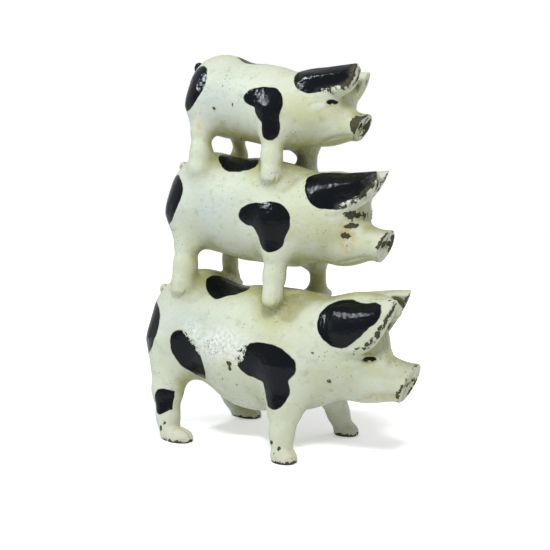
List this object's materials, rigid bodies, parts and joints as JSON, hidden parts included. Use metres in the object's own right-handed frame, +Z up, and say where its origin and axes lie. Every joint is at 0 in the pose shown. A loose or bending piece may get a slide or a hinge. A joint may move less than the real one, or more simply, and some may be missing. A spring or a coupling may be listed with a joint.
{
  "type": "cast iron pig stack",
  "caption": "Hollow cast-iron ornament of pigs standing on each other's backs, two half castings held by slotted screws.",
  "frame": {"origin": "floor level, under the middle of the whole object's box", "axes": "+X towards the snouts, +Y towards the pigs' left flanks, +Z up"},
  "size_m": [0.1667, 0.0756, 0.21],
  "materials": {
    "right_casting": "gloss",
    "left_casting": "gloss",
    "screw_bottom_rear": "satin",
    "screw_bottom_front": "satin",
    "screw_middle": "satin",
    "screw_top": "satin"
  },
  "bodies": {
    "root": {"right_casting": "right_casting", "left_casting": "left_casting", "screw_bottom_rear": "screw_bottom_rear", "screw_bottom_front": "screw_bottom_front", "screw_middle": "screw_middle", "screw_top": "screw_top"}
  },
  "joints": []
}
